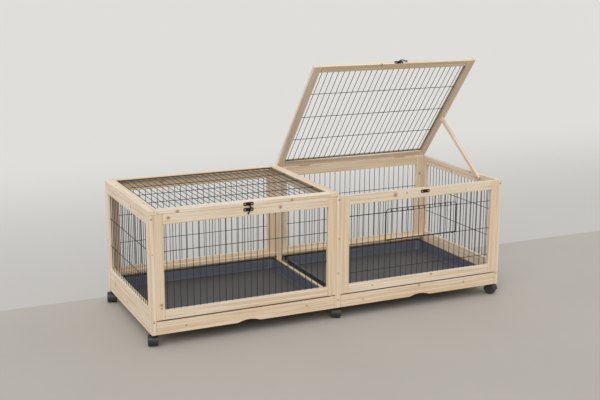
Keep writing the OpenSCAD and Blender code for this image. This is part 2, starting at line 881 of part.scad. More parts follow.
// Two wheels and the axle that carries them
module caster_wheels(i) {
    rim = wheel_radius - 5;
    dish = 1.5;
    caster_place(i) {
        for (side = [-1, 1])
            translate([side * wheel_x, caster_trail, wheel_radius])
                rotate([0, side * 90, 0])
                    rotate_extrude($fn = round_fn)
                        wheel_profile(rim, dish);
        across(-wheel_x - wheel_width / 2 + 3, wheel_x + wheel_width / 2 - 3, axle_radius);
    }
}

// Half section of a wheel: its outer face is dished round a flat hub cap
module wheel_profile(rim, dish) {
    half = wheel_width / 2;
    bore = axle_radius + caster_clearance;
    cap = 7;
    edge = 1.5;
    polygon([[bore, -half], [wheel_radius - edge, -half], [wheel_radius, edge - half],
        [wheel_radius, half - edge], [wheel_radius - edge, half], [rim, half],
        [rim - dish, half - dish], [cap + dish, half - dish], [cap, half], [0, half],
        [0, half - 2.5], [bore, half - 2.5]]);
}

// Sub-parts

wood = "burlywood";
steel_wire = "dimgray";
dark_plastic = "darkslategray";
bronze = "saddlebrown";
bright = "silver";

module left_side_stiles() {
    color(wood) on_floor() frame_stiles(0, side_thickness, side_stile_width);
}

module left_side_rails() {
    color(wood) on_floor() frame_rails(0, side_thickness, side_stile_width, side_board_height);
}

module left_side_mesh() {
    color(steel_wire) on_floor() side_mesh(mesh_inset, 1);
}

module right_side_stiles() {
    color(wood) on_floor() frame_stiles(2, side_thickness, side_stile_width);
}

module right_side_rails() {
    color(wood) on_floor() frame_rails(2, side_thickness, side_stile_width, side_board_height);
}

module right_side_mesh() {
    color(steel_wire) on_floor() side_mesh(run_length - mesh_inset, -1);
}

module middle_stiles() {
    color(wood) on_floor() frame_stiles(1, middle_thickness, middle_stile_width);
}

module middle_rails() {
    color(wood) on_floor() frame_rails(1, middle_thickness, middle_stile_width, middle_bar_height);
}

module front_stiles(b) {
    color(wood) on_floor() panel_stiles(b, 0, front_rail_bottom);
}

module front_rails(b) {
    color(wood) on_floor() panel_rails(b, 0, front_rail_bottom, front_window_bottom);
}

module left_front_mesh() {
    color(steel_wire) on_floor()
        panel_mesh(0, front_mesh_y, front_cross_y, front_window_bottom, cross_heights);
}

module right_front_mesh() {
    color(steel_wire) on_floor() door_mesh();
}

module back_stiles(b) {
    color(wood) on_floor()
        difference() {
            panel_stiles(b, run_depth - panel_thickness, 0);
            hinge_notches(b);
        }
}

module back_rails(b) {
    color(wood) on_floor()
        difference() {
            panel_rails(b, run_depth - panel_thickness, 0, back_board_height);
            hinge_notches(b);
        }
}

module back_mesh(b) {
    y = run_depth - mesh_inset;
    color(steel_wire) on_floor()
        panel_mesh(b, y, y - wire_diameter + wire_weld, back_board_height, cross_heights);
}

module tray_battens() {
    color(wood) on_floor()
        difference() {
            for (b = [0:1]) {
                runner(bays[b][0]);
                runner(bays[b][1] - runner_width);
                batten(b);
            }
            stem_holes();
        }
}

module frame_screws() {
    color(bright) on_floor()
        for (i = [0:2], k = [0:1], back = [0:1])
            frame_screw_place(i, k, back)
                wood_screw(screw_radius, screw_head_radius, screw_length);
}

module panel_dowels() {
    color(wood) on_floor()
        dowel_places() cylinder(r = dowel_radius, h = 2 * dowel_depth, center = true,
            $fn = round_fn);
}

module frame_hinge_leaves() {
    color(bright) on_floor()
        for (b = [0:1]) hinge_places(b) hinge_leaf(false, leaf_height);
}

module hinge_pins() {
    color(bright) on_floor()
        for (b = [0:1]) hinge_places(b) hinge_barrel(pin_radius, 0, hinge_length);
}

module catch_plates() {
    color(bronze) on_floor() for (b = [0:1]) catch_plate(b);
}

module lid_hinge_leaves(b) {
    color(bright) on_floor()
        lid_place(b) hinge_places(b) hinge_leaf(true, lid_leaf_height);
}

module prop_stick() {
    color(wood) on_floor() prop_shape();
}

module prop_screw() {
    color(bright) on_floor() prop_screw_shape(0);
}

module wire_door() {
    color(steel_wire) on_floor() wire_door_shape();
}

left_side_stiles();
left_side_rails();
left_side_mesh();
right_side_stiles();
right_side_rails();
right_side_mesh();
middle_stiles();
middle_rails();
front_stiles(0);  // left_front_stiles
front_rails(0);  // left_front_rails
left_front_mesh();
front_stiles(1);  // right_front_stiles
front_rails(1);  // right_front_rails
right_front_mesh();
back_stiles(0);  // left_back_stiles
back_rails(0);  // left_back_rails
back_mesh(0);  // left_back_mesh
back_stiles(1);  // right_back_stiles
back_rails(1);  // right_back_rails
back_mesh(1);  // right_back_mesh
tray_battens();
frame_screws();
panel_dowels();
frame_hinge_leaves();
hinge_pins();
catch_plates();
color(wood) on_floor() lid_stiles(0);  // left_lid_stiles
color(wood) on_floor() lid_rails(0);  // left_lid_rails
color(steel_wire) on_floor() lid_mesh(0);  // left_lid_mesh
lid_hinge_leaves(0);  // left_lid_hinge_leaves
color(bronze) on_floor() lid_latch_plate(0);  // left_lid_latch_plate
color(bronze) on_floor() latch_hook(0);  // left_latch_hook
color(wood) on_floor() lid_stiles(1);  // right_lid_stiles
color(wood) on_floor() lid_rails(1);  // right_lid_rails
color(steel_wire) on_floor() lid_mesh(1);  // right_lid_mesh
lid_hinge_leaves(1);  // right_lid_hinge_leaves
color(bronze) on_floor() lid_latch_plate(1);  // right_lid_latch_plate
color(bronze) on_floor() latch_hook(1);  // right_latch_hook
prop_stick();
prop_screw();
wire_door();
color(wood) on_floor() drawer_front(0);  // left_drawer_front
color(wood) on_floor() drawer_cleat(0);  // left_drawer_cleat
color(dark_plastic) on_floor() tray(0);  // left_tray
color(wood) on_floor() drawer_front(1);  // right_drawer_front
color(wood) on_floor() drawer_cleat(1);  // right_drawer_cleat
color(dark_plastic) on_floor() tray(1);  // right_tray
color(bright) on_floor() for (i = [0:5]) caster_stem(i);  // caster_stems
color(dark_plastic) on_floor() caster_hood(0);  // caster_hood_1
color(dark_plastic) on_floor() caster_hood(1);  // caster_hood_2
color(dark_plastic) on_floor() caster_hood(2);  // caster_hood_3
color(dark_plastic) on_floor() caster_hood(3);  // caster_hood_4
color(dark_plastic) on_floor() caster_hood(4);  // caster_hood_5
color(dark_plastic) on_floor() caster_hood(5);  // caster_hood_6
color(dark_plastic) on_floor() caster_wheels(0);  // caster_wheels_1
color(dark_plastic) on_floor() caster_wheels(1);  // caster_wheels_2
color(dark_plastic) on_floor() caster_wheels(2);  // caster_wheels_3
color(dark_plastic) on_floor() caster_wheels(3);  // caster_wheels_4
color(dark_plastic) on_floor() caster_wheels(4);  // caster_wheels_5
color(dark_plastic) on_floor() caster_wheels(5);  // caster_wheels_6
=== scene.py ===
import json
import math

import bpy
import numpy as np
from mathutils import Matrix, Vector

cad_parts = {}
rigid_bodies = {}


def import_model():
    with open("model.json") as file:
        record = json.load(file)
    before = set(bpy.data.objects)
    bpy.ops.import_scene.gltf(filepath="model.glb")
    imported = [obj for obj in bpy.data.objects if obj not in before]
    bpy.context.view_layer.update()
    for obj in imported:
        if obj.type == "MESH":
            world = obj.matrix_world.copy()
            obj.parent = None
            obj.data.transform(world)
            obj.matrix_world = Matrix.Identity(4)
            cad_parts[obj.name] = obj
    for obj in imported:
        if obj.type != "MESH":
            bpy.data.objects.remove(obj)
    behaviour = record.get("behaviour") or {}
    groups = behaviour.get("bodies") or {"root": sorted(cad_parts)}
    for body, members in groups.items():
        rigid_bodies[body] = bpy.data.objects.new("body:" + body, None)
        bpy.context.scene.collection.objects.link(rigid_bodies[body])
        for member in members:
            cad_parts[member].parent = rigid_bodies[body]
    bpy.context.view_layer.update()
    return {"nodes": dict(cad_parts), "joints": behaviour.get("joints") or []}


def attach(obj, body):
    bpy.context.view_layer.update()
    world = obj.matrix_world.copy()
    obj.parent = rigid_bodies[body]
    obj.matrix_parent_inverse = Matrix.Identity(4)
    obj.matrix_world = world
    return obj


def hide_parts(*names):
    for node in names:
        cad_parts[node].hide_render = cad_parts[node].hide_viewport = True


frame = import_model()

# %% [markdown]
# A guinea pig run, dressed around a fixed frame.
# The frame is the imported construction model: every board, wire sheet, tray and caster is
# already in place as its own node. This lesson keeps the nodes whose shape is right and
# gives them a finish, and it builds finer meshes for the wood, the trays, the casters and
# the screws, which need softened edges and the grain of each board.
# Everything is in metres, and millimetres are written as so many times MM. The run's front
# looks towards minus Y.

MM = 0.001
FOOT = np.array([-0.75, -0.3, 0.048])  # foot of the left front leg
chance = np.random.default_rng(7)


def at(points):
    """Millimetres from the left front leg's foot, as metres in the frame."""
    return np.asarray(points, float) * MM + FOOT


def linear(red, green, blue):
    """A colour read off a screen, 0 to 255, as the light that it stands for."""
    values = np.array([red, green, blue]) / 255
    light = np.where(values < 0.04045, values / 12.92, ((values + 0.055) / 1.055) ** 2.4)
    return (*light.tolist(), 1.0)


# %% [markdown]
# A material is a sum over a few patterns. Written with links and nodes it is hard to read,
# so a small class wraps a socket and turns Python's + - * / into Math nodes. Every other
# node comes from one method: its settings are set first, because some of them change which
# sockets the node has, and then its sockets get values or links.

# %% Sockets that add up
class Value:
    """A socket that carries a number, a vector or a colour through a sum."""

    def __init__(self, finish, node, index=0):
        self.finish, self.node, self.index = finish, node, index

    def part(self, index):
        """Another output of the same node, by its place or its name."""
        return Value(self.finish, self.node, index)

    def __add__(self, other):
        return self.finish.sum("ADD", self, other)

    def __sub__(self, other):
        return self.finish.sum("SUBTRACT", self, other)

    def __rsub__(self, other):
        return self.finish.sum("SUBTRACT", other, self)

    def __mul__(self, other):
        return self.finish.sum("MULTIPLY", self, other)

    def __truediv__(self, other):
        return self.finish.sum("DIVIDE", self, other)

    def __pow__(self, other):
        return self.finish.sum("POWER", self, other)

    __radd__ = __add__
    __rmul__ = __mul__


class Finish:
    """A node tree being written: a material's, or the world's."""

    def __init__(self, name, owner=None):
        self.owner = owner or bpy.data.materials.new(name)
        self.owner.use_nodes = True
        self.tree = self.owner.node_tree
        self.tree.nodes.clear()

    def node(self, kind, settings=None, sockets=None, out=0):
        """Adds one node: settings first, then values or links into its sockets."""
        node = self.tree.nodes.new("ShaderNode" + kind)
        for key, value in (settings or {}).items():
            setattr(node, key, value)
        for key, value in (sockets or {}).items():
            if isinstance(value, Value):
                self.tree.links.new(value.node.outputs[value.index], node.inputs[key])
            else:
                node.inputs[key].default_value = value
        return Value(self, node, out)

    def sum(self, operation, first, second=0.0):
        """A Math node on two numbers or values."""
        return self.node("Math", {"operation": operation}, {0: first, 1: second})

    def place(self):
        """Where the point lies on the object, in metres."""
        return self.node("TexCoord", out="Object")

    def scaled(self, vector, x, y, z):
        """The vector with each part times its own number; a large one makes a fine pattern."""
        return self.node("VectorMath", {"operation": "MULTIPLY"}, {0: vector, 1: (x, y, z)})

    def noise(self, vector, scale=1.0, detail=2.0, rough=0.5):
        """Cloudy values round 0.5."""
        return self.node("TexNoise", {}, {"Vector": vector, "Scale": scale, "Detail": detail,
                                          "Roughness": rough})

    def step(self, value, low, high, start=0.0, end=1.0):
        """Goes smoothly from start to end while value goes from low to high."""
        return self.node("MapRange", {"interpolation_type": "SMOOTHSTEP"},
                         {0: value, 1: low, 2: high, 3: start, 4: end})

    def mix(self, factor, first, second):
        """Goes from the first colour to the second while factor goes from 0 to 1."""
        return self.node("Mix", {"data_type": "RGBA"}, {0: factor, 6: first, 7: second}, out=2)

    def bump(self, height, depth):
        """Relief of a real depth in metres, where height goes from 0 to 1."""
        return self.node("Bump", {}, {"Height": height, "Distance": depth, "Strength": 1.0})

    def surface(self, **sockets):
        """The closing shader; names of its sockets have _ for a space."""
        names = {key.replace("_", " "): value for key, value in sockets.items()}
        shader = self.node("BsdfPrincipled", {}, names)
        self.node("OutputMaterial", {}, {"Surface": shader})
        return self.owner


print("screen grey 128 stands for", round(linear(128, 128, 128)[0], 3), "of full light")

# %% [markdown]
# The camera repeats the photograph's, so that the two pictures can be laid over each other.
# Its place, its turn and its focal length were worked out from the corners of the frames,
# whose real sizes are known. It looks down by 13 degrees, from 25 degrees to the left of
# straight on. A lens is set in millimetres, and the focal length was measured in pixels, so
# it is scaled by the sensor's width over the picture's.

# %% Camera
AZIMUTH, ELEVATION, ROLL = map(math.radians, (-25.075, 13.171, 0.2227))
CAMERA_PLACE = Vector((-1.7448, -3.6759, 1.3674))
FOCAL_PIXELS, PICTURE_WIDTH, SENSOR = 1026.03, 600, 36.0
SIGHT = 200.0  # metres

ahead = Vector((-math.sin(AZIMUTH) * math.cos(ELEVATION),
                math.cos(AZIMUTH) * math.cos(ELEVATION), -math.sin(ELEVATION)))
level = Vector((math.cos(AZIMUTH), math.sin(AZIMUTH), 0))
upward = level.cross(ahead)
right = math.cos(ROLL) * level + math.sin(ROLL) * upward
up = right.cross(ahead)
lens = bpy.data.cameras.new("photo_camera")
lens.sensor_width = SENSOR
lens.lens = FOCAL_PIXELS / PICTURE_WIDTH * SENSOR
lens.clip_end = SIGHT
camera = bpy.data.objects.new("photo_camera", lens)
camera.matrix_world = Matrix.Translation(CAMERA_PLACE) @ Matrix(
    (right, up, -ahead)).transposed().to_4x4()
bpy.context.scene.collection.objects.link(camera)
bpy.context.scene.camera = camera
bpy.context.scene.view_settings.view_transform = "Standard"
print("lens", round(lens.lens, 2), "mm")

# %% [markdown]
# Close to the run that paler part is painted darker, a painted shadow of the run, which fades
# out further back.
# The studio is plain. One wide floor carries the run and fills the picture, because the
# camera looks down. It is a little paler behind the run, where the photograph has a wall.
# A real wall would do too, but it would hide the run from behind, and a change of colour
# along Y doesn't. The sky lights everything evenly and a wide, soft sun adds some direction.
# Together they are so strong that a colour renders about as it is written. The camera and
# shiny surfaces see a plain grey sky, whatever light it gives.

# %% Studio
FLOOR_SIZE = 120.0
LINE, LINE_BLUR = 0.345, 0.008  # where the floor turns paler along Y, in metres
# Over this span along Y the painted shadow of the run on the paler part fades out.
PAINTED_SHADOW_NEAR, PAINTED_SHADOW_FAR = 0.6, 3.4  # from here to there the backdrop goes on getting paler
SKY_LEVEL, SKY_COLOUR = 0.74, (1.0, 0.985, 0.96, 1)
SUN_LEVEL, SUN_COLOUR = 1.15, (1.0, 0.97, 0.92)
SUN_SPREAD, SUN_TILT, SUN_TURN = map(math.radians, (50, 46, -38))

floor_mesh = bpy.data.meshes.new("floor")
half = FLOOR_SIZE / 2
floor_mesh.from_pydata([(-half, -half, 0), (half, -half, 0), (half, half, 0), (-half, half, 0)],
                       [], [(0, 1, 2, 3)])
floor = bpy.data.objects.new("floor", floor_mesh)
bpy.context.scene.collection.objects.link(floor)

paint = Finish("floor_paint")
depth = paint.node("SeparateXYZ", {}, {0: paint.place()}).part(1)
behind = paint.step(depth, LINE - LINE_BLUR, LINE + LINE_BLUR)
# The paler part behind the line is painted darker near the run, a painted shadow of the run, and
# grows to its own pale colour further back.
backdrop_with_painted_shadow = paint.mix(paint.step(depth, PAINTED_SHADOW_NEAR, PAINTED_SHADOW_FAR),
                     linear(196, 195, 194), linear(224, 224, 224))
cloud = paint.noise(paint.place(), 1.5, 3.0)
near = paint.mix(cloud, linear(177, 173, 167), linear(187, 183, 177))
floor_mesh.materials.append(paint.surface(
    Base_Color=paint.mix(behind, near, backdrop_with_painted_shadow), Roughness=0.8))

world = bpy.data.worlds.new("sky")
bpy.context.scene.world = world
sky = Finish("sky", world)
rays = sky.node("LightPath")
seen = rays + rays.part("Is Glossy Ray") + rays.part("Is Transmission Ray")
light = sky.node("Background", {}, {"Color": SKY_COLOUR, "Strength": SKY_LEVEL})
shown = sky.node("Background", {}, {"Color": linear(222, 222, 222), "Strength": 1.0})
sky.node("OutputWorld", {}, {"Surface": sky.node(
    "MixShader", {}, {0: sky.step(seen, 0.0, 1.0), 1: light, 2: shown})})

lamp = bpy.data.lights.new("soft_sun", "SUN")
lamp.energy, lamp.angle, lamp.color = SUN_LEVEL, SUN_SPREAD, SUN_COLOUR
sun = bpy.data.objects.new("soft_sun", lamp)
sun.rotation_euler = (SUN_TILT, 0, SUN_TURN)
bpy.context.scene.collection.objects.link(sun)
print("sky", SKY_LEVEL, "and sun", SUN_LEVEL)

# %% [markdown]
# Nearly every shape here is a skin: rings of points, each ring as many as the last, placed
# one after another and joined by four-sided faces, with a cap at both ends. A board is a
# rectangular ring carried along its length, a tray is an outline carried up its wall, and a
# wheel is a circle carried along its half section. Numpy works out all rings at once.

# %% Skins from rings
def skin(rings):
    """Points and faces of a closed skin. The ring's points run anticlockwise when they are
    seen from the end that the rings go towards, so that the faces point outwards."""
    rows, count = rings.shape[:2]
    row, column = np.meshgrid(np.arange(rows - 1), np.arange(count), indexing="ij")
    following = (column + 1) % count
    sides = np.stack([row * count + column, row * count + following,
                      (row + 1) * count + following, (row + 1) * count + column], -1)
    ends = [np.arange(count)[::-1].tolist(), ((rows - 1) * count + np.arange(count)).tolist()]
    return rings.reshape(-1, 3), sides.reshape(-1, 4).tolist() + ends


def piece(name, skins, crease=35):
    """One object from several closed skins, smooth except where faces meet sharply."""
    points, faces, used = [], [], 0
    for skin_points, skin_faces in skins:
        points.append(skin_points)
        faces += [[index + used for index in face] for face in skin_faces]
        used += len(skin_points)
    mesh = bpy.data.meshes.new(name)
    mesh.from_pydata(np.concatenate(points).tolist(), [], faces)
    mesh.shade_smooth()
    mesh.set_sharp_from_angle(angle=math.radians(crease))
    made = bpy.data.objects.new(name, mesh)
    bpy.context.scene.collection.objects.link(made)
    return made


def dress(made, body, slot, material, *nodes):
    """A new piece rides on its body, takes its finish and stands for CAD nodes."""
    made.data.materials.clear()
    made.data.materials.append(material)
    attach(made, body)
    if nodes:
        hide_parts(*nodes)
    return made


def body_of(node):
    """The body that a CAD node belongs to."""
    return frame["nodes"][node].parent.name.removeprefix("body:")


def points_of(mesh):
    """The mesh's points as an array with a row for each."""
    values = np.empty(len(mesh.vertices) * 3, np.float32)
    mesh.vertices.foreach_get("co", values)
    return values.reshape(-1, 3).astype(float)


# %% [markdown]
# The frame's wood comes as boards whose edges are sharp. Real slats are planed and their
# edges are broken with sandpaper, which leaves a soft line of light along each. A Bevel
# modifier could do it, but each board also needs its own grain, and so it must be known as
# a board. So the boards are measured in the frame's mesh and built again. Points that share
# a triangle get one label, the lowest, until nothing changes, and each label left is a board.

# %% Measuring the boards
SAME, SORTED = 5, 4  # decimals of a metre to which points are one, and solids are in order


def turned(points, turn, back=False):
    """Points turned about a line along X: turn is its angle in radians and a point on it."""
    if turn is None:
        return points
    angle, centre = turn
    matrix = np.array(Matrix.Rotation(-angle if back else angle, 3, "X"))
    return (points - centre) @ matrix.T + centre


def solids_of(node, turn=None):
    """Lowest and highest corner of every separate solid of a node, turned back if need be."""
    mesh = frame["nodes"][node].data
    points = points_of(mesh)
    corners = np.empty(len(mesh.loops), np.int32)
    mesh.loops.foreach_get("vertex_index", corners)
    same = np.unique(np.round(points, SAME), axis=0, return_inverse=True)[1].ravel()
    triangles = same[corners.reshape(-1, 3)]
    label, before = np.arange(same.max() + 1), None
    while before is None or (label != before).any():
        before = label.copy()
        np.minimum.at(label, triangles.ravel(), np.repeat(label[triangles].min(1), 3))
        label = label[label]
    owner = label[same]
    straight = turned(points, turn, back=True)
    found = [(straight[owner == own].min(0), straight[owner == own].max(0))
             for own in np.unique(owner)]
    return sorted(found, key=lambda box: tuple(np.round(box[0], SORTED)))


for node in ("left_side_stiles", "middle_rails", "tray_battens", "frame_screws"):
    print(node, "has", len(solids_of(node)), "solids")

# %% [markdown]
# A board is a rounded rectangle carried along its grain. At each end the ring draws in by
# the same quarter circle that rounds the long edges. A drawer front has a finger notch in
# its lower edge, a shallow arc, so the lower corners of its rings may be lifted along the way.

# %% Boards
EASE = 1.5 * MM
CORNER_SHARE = 1.2  # a corner's radius over the easing at the ends
ARC_POINTS, NOTCH_POINTS = 4, 41
ACROSS = {0: (1, 2), 1: (2, 0), 2: (0, 1)}  # the two axes across a board, for each along
QUADRANTS = np.array([[1, 1], [-1, 1], [-1, -1], [1, -1]])


def board(low, high, along, ease=EASE, notch=None):
    """Ring points are corner centre + (radius - inset) * (cos f, sin f). The stations near an
    end lie at ease * (1 - sin t) with inset ease * (1 - cos t), for t from 90 to 0 degrees."""
    size = high - low
    one, two = ACROSS[along]
    width = np.array([size[one], size[two]]) / 2
    radius = CORNER_SHARE * ease
    turns = np.linspace(0, np.pi / 2, ARC_POINTS)
    angles = (np.arange(4)[:, None] * np.pi / 2 + turns[None]).ravel()
    centres = np.repeat(QUADRANTS * (width - radius), ARC_POINTS, axis=0)
    fade = turns[::-1]
    middle = np.zeros(0)
    if notch:
        middle = size[along] / 2 + notch[0] / 2 * np.linspace(-1.02, 1.02, NOTCH_POINTS)
    start = ease * (1 - np.sin(fade))
    stations = np.concatenate([start, middle, size[along] - start[::-1]])
    inset = ease * (1 - np.cos(fade))
    inset = np.concatenate([inset, 0 * middle, inset[::-1]])
    circle = np.stack([np.cos(angles), np.sin(angles)], -1)
    ring = centres[None] + (radius - inset)[:, None, None] * circle[None]
    if notch:
        across, height = notch
        arc = (across ** 2 / 4 + height ** 2) / (2 * height)
        off = np.clip(np.abs(stations - size[along] / 2), 0, across / 2)
        lift = np.sqrt(arc ** 2 - off ** 2) - (arc - height)
        ring[:, :, 1] += np.where(ring[:, :, 1] < 0, lift[:, None], 0)
    points = np.empty((*ring.shape[:2], 3))
    points[..., along] = stations[:, None]
    points[..., one] = ring[..., 0] + width[0]
    points[..., two] = ring[..., 1] + width[1]
    return skin(points + low)


SHIFT_LEAST, SHIFT_MOST = (-9, 0.03, 0.02), (9, 0.06, 0.05)  # metres along, across, through
TINT_SPREAD = 0.3


def mark_grain(made, boards, tone=0.0):
    """Writes two attributes on every point. grain is its place in the board, along, across
    and through the wood, plus a shift that is the board's own, so that no two boards show
    the same figure. tint is one number for each board, spread a little round tone, which
    goes from -1 for the palest wood to 1 for the warmest."""
    points = points_of(made.data)
    middles = np.array([(low + high) / 2 for low, high, along in boards])
    halves = np.array([(high - low) / 2 for low, high, along in boards])
    outside = np.abs(points[:, None] - middles[None]) - halves[None]
    own = outside.max(2).argmin(1)
    order = np.array([[along, *ACROSS[along]] for low, high, along in boards])
    shift = chance.uniform(SHIFT_LEAST, SHIFT_MOST, (len(boards), 3))
    shift[:, 1:] *= chance.choice((-1, 1), (len(boards), 2))
    local = np.take_along_axis(points - middles[own], order[own], axis=1) + shift[own]
    tint = tone + chance.uniform(-TINT_SPREAD, TINT_SPREAD, len(boards))[own]
    grain = made.data.attributes.new("grain", "FLOAT_VECTOR", "POINT")
    grain.data.foreach_set("vector", local.astype(np.float32).ravel())
    shade = made.data.attributes.new("tint", "FLOAT", "POINT")
    shade.data.foreach_set("value", tint.astype(np.float32))


def turn_piece(made, turn):
    """Turns the points of a finished mesh, so that its object stays unturned."""
    if turn:
        made.data.vertices.foreach_set("co", turned(points_of(made.data), turn).ravel())
        made.data.update()


def flatten_normals(made):
    """Large faces keep their flat shading and the soft edges blend into them."""
    made.data.set_sharp_from_angle(angle=math.pi)
    made.modifiers.new("flat faces", "WEIGHTED_NORMAL").weight = 100


print("an eased board has", len(board(np.zeros(3), np.ones(3), 0)[0]), "points")

# %% [markdown]
# Some pieces have recesses: the lids' slats are rebated for the mesh sheet, the back edges
# are hollowed for the hinges' barrels, and the frames' edges are countersunk. On a bench
# these are cuts into a finished board, and a Boolean modifier does the same with a cutter
# made of skins. It is applied at once, so that the grain is written on the final points.

# %% Cutting
def carve(made, skins):
    """Takes closed skins out of a piece and leaves a plain mesh."""
    cutter = piece("cutter", skins)
    change = made.modifiers.new("carve", "BOOLEAN")
    change.operation, change.solver, change.object = "DIFFERENCE", "EXACT", cutter
    bpy.context.view_layer.update()
    shaped = made.evaluated_get(bpy.context.evaluated_depsgraph_get())
    plain, carved = made.data, bpy.data.meshes.new_from_object(shaped)
    made.modifiers.clear()
    made.data = carved
    carved.name = plain.name + "_carved"
    bpy.data.meshes.remove(plain)
    bpy.data.objects.remove(cutter)


def lathe(profile, start, axis, count=40):
    """A profile of (distance along the axis, radius) turned about the line from start
    along axis. Point k of a ring is start + along * axis + radius * (cos f * side +
    sin f * other), where side, other and axis are square to each other."""
    axis = np.asarray(axis, float) / np.linalg.norm(axis)
    side = np.cross(axis, (0.0, 0.0, 1.0) if abs(axis[2]) < 0.9 else (1.0, 0.0, 0.0))
    side /= np.linalg.norm(side)
    other = np.cross(axis, side)
    profile = np.asarray(profile, float)
    turn = np.linspace(0, 2 * np.pi, count, endpoint=False)
    circle = np.cos(turn)[:, None] * side + np.sin(turn)[:, None] * other
    rings = (np.asarray(start, float) + profile[:, :1, None] * axis
             + profile[:, 1:, None] * circle[None])
    return skin(rings)


print("a plain cylinder has", len(lathe([(0, 1), (1, 1)], (0, 0, 0), (0, 0, 1))[0]), "points")

# %% [markdown]
# Pine shows pale early wood and thin darker late wood, one pair for each year. Cut through
# a trunk, the rings are cylinders round its middle, so the distance from a line along the
# board, bent a little by noise, gives the figure on every face and the arcs on the end
# grain at once. A photograph of wood wrapped round each board would show a seam at every
# edge. Fine fibres are noise that is stretched along the board. Knots are given as places
# on the run, because the photograph shows where some are, and they push the grain aside.

# %% Pine
RING = 4.2 * MM  # width of a year's growth
SWAY, KNOT_PUSH, RELIEF = 16 * MM, 6 * MM, 0.22 * MM
KNOT_FADE = 2.6  # how far a knot tints the wood round it, in its own radii
PALE, CREAM, TAN = linear(247, 237, 224), linear(241, 228, 210), linear(236, 214, 184)
STREAK, LATE = linear(218, 189, 154), linear(210, 178, 140)
FIBRE, PORE = linear(214, 190, 156), linear(180, 146, 108)
KNOT_EDGE, KNOT_DARK, KNOT_LIGHT = (linear(206, 168, 124), linear(126, 86, 54),
                                    linear(166, 122, 82))


def pine(name, knots=()):
    """Finish for planed, unvarnished pine. A knot is (x, y, z, radius) in millimetres."""
    f = Finish(name)
    grain = f.node("Attribute", {"attribute_name": "grain"}, out="Vector")
    tint = f.node("Attribute", {"attribute_name": "tint"}, out="Fac")
    place = f.place()
    sway = f.noise(f.scaled(grain, 1.6, 14, 14), detail=1.0) - 0.5
    split = f.node("SeparateXYZ", {}, {0: grain})
    side, deep = split.part("Y"), split.part("Z")
    reach = ((side + sway * SWAY) ** 2 + deep ** 2) ** 0.5
    heart, bark = None, None
    for x, y, z, radius in knots:
        away = f.node("VectorMath", {"operation": "DISTANCE"},
                      {0: place, 1: at((x, y, z)).tolist()}, out="Value") / (radius * MM)
        core = f.step(away + sway * 0.5, 0.75, 1.15, 1.0, 0.0)
        halo = f.step(away, 0.6, KNOT_FADE, 1.0, 0.0)
        heart = core if heart is None else f.sum("MAXIMUM", heart, core)
        bark = halo if bark is None else f.sum("MAXIMUM", bark, halo)
    if knots:
        reach = reach + bark * KNOT_PUSH
    year = f.sum("FRACT", reach / RING)
    late = f.step(year, 0.45, 0.92) * f.step(year, 0.92, 1.0, 1.0, 0.0)
    fibre = f.noise(f.scaled(grain, 10, 700, 700), detail=3.0, rough=0.6)
    pores = f.step(f.noise(f.scaled(grain, 40, 1500, 1500), detail=1.0), 0.62, 0.75)
    cloud = f.noise(f.scaled(grain, 3.0, 16, 16), detail=2.0)
    streak = f.noise(f.scaled(grain, 2.2, 110, 110), detail=2.0, rough=0.6)
    colour = f.mix(f.step(cloud, 0.3, 0.7), PALE, CREAM)
    colour = f.mix(f.step(tint, -1.0, 1.0) * 0.8, colour, TAN)
    colour = f.mix(f.step(streak, 0.44, 0.62) * 0.7, colour, STREAK)
    colour = f.mix(late * 0.5, colour, LATE)
    colour = f.mix(f.step(fibre, 0.3, 0.75) * 0.22, colour, FIBRE)
    colour = f.mix(pores * 0.22, colour, PORE)
    if knots:
        colour = f.mix(bark * 0.3, colour, KNOT_EDGE)
        colour = f.mix(heart * 0.62, colour, f.mix(fibre, KNOT_DARK, KNOT_LIGHT))
    height = fibre * 0.5 + late * 0.35 + pores * -0.4
    return f.surface(Base_Color=colour, Roughness=0.52 + fibre * 0.16 + late * -0.06,
                     Normal=f.bump(height, RELIEF), Specular_IOR_Level=0.35)


plain_pine = pine("plain_pine")
print(len(plain_pine.node_tree.nodes), "nodes in the plain pine")

# %% [markdown]
# The knots that the photograph shows lie on the front boards, on the open lid and on the
# back boards that are seen through the mesh. Each board group with knots of its own gets
# its own copy of the pine, and everything else shares the plain one.

# %% Knots of each group
KNOTS = {
    "left_front_rails": [(72, 0, 431, 6), (505, 0, 428, 6.5)],
    "left_front_stiles": [(39.5, 0, 111, 5), (39, 0, 99, 3.5), (700, 0, 250, 2.5)],
    "left_lid_rails": [(106, 0, 451, 6), (552, 0, 450, 6), (210, 600, 452, 5)],
    "left_lid_stiles": [(20, 130, 460, 5), (730, 340, 460, 4), (12, 470, 460, 4)],
    "right_front_rails": [(996, 0, 428, 8.5), (1048, 0, 431, 3.5), (1323, 0, 422, 2.5),
                          (1171, 0, 84, 4.5), (900, 0, 72, 3)],
    "right_drawer_front": [(1116, 0, 44, 4.5), (860, 0, 20, 3), (1330, 0, 30, 4)],
    "left_drawer_front": [(615, 0, 28, 4), (130, 0, 22, 3.5)],
    "left_side_stiles": [(0, 28, 302, 3), (9, 0, 302, 2), (0, 590, 210, 4)],
    "left_side_rails": [(0, 226, 428, 5), (0, 488, 52, 7), (0, 320, 30, 4), (18, 150, 40, 4)],
    "middle_stiles": [(752, 0, 278, 3.5), (750, 0, 140, 3), (738, 582, 300, 5)],
    "right_side_rails": [(1482, 347, 416, 5), (1482, 561, 420, 5), (1482, 206, 438, 5),
                         (1500, 300, 50, 7), (1500, 120, 425, 5)],
    "right_back_stiles": [(1465, 584, 364, 5), (1448, 600, 200, 5)],
    "right_lid_rails": [(1050, 226.6, 911, 5)],
    "left_back_rails": [(234, 584, 433, 7), (420, 600, 50, 8), (150, 600, 430, 5)],
    "right_back_rails": [(980, 584, 60, 6), (1100, 600, 430, 7), (1290, 600, 40, 8)],
}
